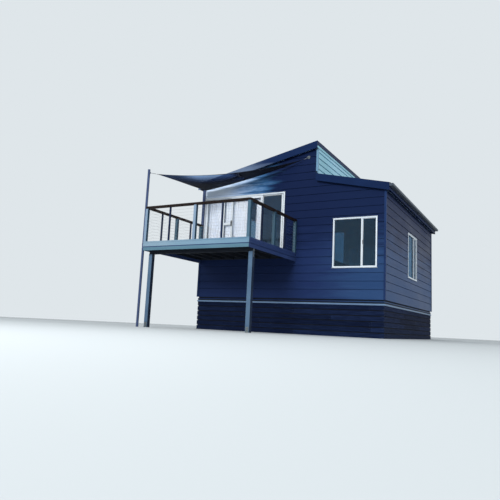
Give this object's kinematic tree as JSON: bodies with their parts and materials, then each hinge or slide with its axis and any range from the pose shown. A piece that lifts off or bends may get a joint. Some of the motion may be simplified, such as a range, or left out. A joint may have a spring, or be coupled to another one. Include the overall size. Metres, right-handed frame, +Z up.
{
  "type": "split level beach house",
  "caption": "Split level timber beach house with two skillion roofs, a clerestory wall, a raised deck with a handrail, a shade sail and a sliding glass door.",
  "frame": {"origin": "middle of the whole house's box at ground level", "axes": "+X to the right along the front wall, +Y from the deck to the back of the house, +Z up"},
  "size_m": [6.93, 10.15, 6.0275],
  "materials": {
    "wall_paint": "satin painted weatherboard",
    "trim_paint": "satin dark barge paint",
    "corner_paint": "satin paint",
    "soffit_paint": "flat paint",
    "roof_steel": "prepainted corrugated steel",
    "base_rail_paint": "satin paint",
    "base_timber": "dark stained timber",
    "deck_timber": "oiled decking",
    "deck_paint": "satin painted timber",
    "rail_timber": "dark oiled hardwood",
    "floor_boards": "satin boards",
    "plaster": "flat painted plasterboard",
    "white_aluminium": "white powder coat",
    "window_glass": "clear",
    "black_pull": "satin black",
    "curtain_cloth": "woven sheer",
    "shade_cloth": "knitted shade cloth",
    "galvanised_steel": "galvanised"
  },
  "bodies": {
    "house": {"stumps": "base_timber", "base_rails": "base_rail_paint", "baseboards": "base_timber", "sill_plates": "base_timber", "lower_floor": "floor_boards", "upper_floor": "floor_boards", "step_wall": "plaster", "clerestory_beam": "plaster", "front_wall_base": "wall_paint", "front_wall_left": "wall_paint", "front_wall_head": "wall_paint", "front_wall_middle": "wall_paint", "front_wall_right": "wall_paint", "left_wall": "wall_paint", "right_wall": "wall_paint", "back_wall_left": "wall_paint", "back_wall_right": "wall_paint", "clerestory_wall": "wall_paint", "upper_roof": "soffit_paint", "upper_roof_sheet": "roof_steel", "lower_roof": "soffit_paint", "lower_roof_sheet": "roof_steel", "barge_boards": "trim_paint", "fascias": "trim_paint", "gutters": "roof_steel", "corner_trims": "corner_paint", "door_frame": "white_aluminium", "door_fixed_lights": "white_aluminium", "door_glass": "window_glass", "curtain_left": "curtain_cloth", "curtain_right": "curtain_cloth", "curtain_rail": "white_aluminium", "window_frames": "white_aluminium", "window_glass": "window_glass", "deck_posts": "deck_paint", "deck_bearers": "base_timber", "deck_joists": "base_timber", "deck_floor": "deck_timber", "deck_fascias": "deck_paint", "balustrade_posts": "deck_paint", "balustrade_supports": "rail_timber", "handrails": "rail_timber", "sail": "shade_cloth", "sail_posts": "galvanised_steel", "sail_plate": "galvanised_steel", "turnbuckles": "galvanised_steel"},
    "sliding_leaf": {"leaf_frame": "white_aluminium", "leaf_glass": "window_glass", "leaf_pull": "black_pull"}
  },
  "joints": [
    {"name": "leaf_slide", "type": "slide", "parent": "house", "child": "sliding_leaf", "axis": [1, 0, 0], "range_m": [0, 0.7]}
  ]
}
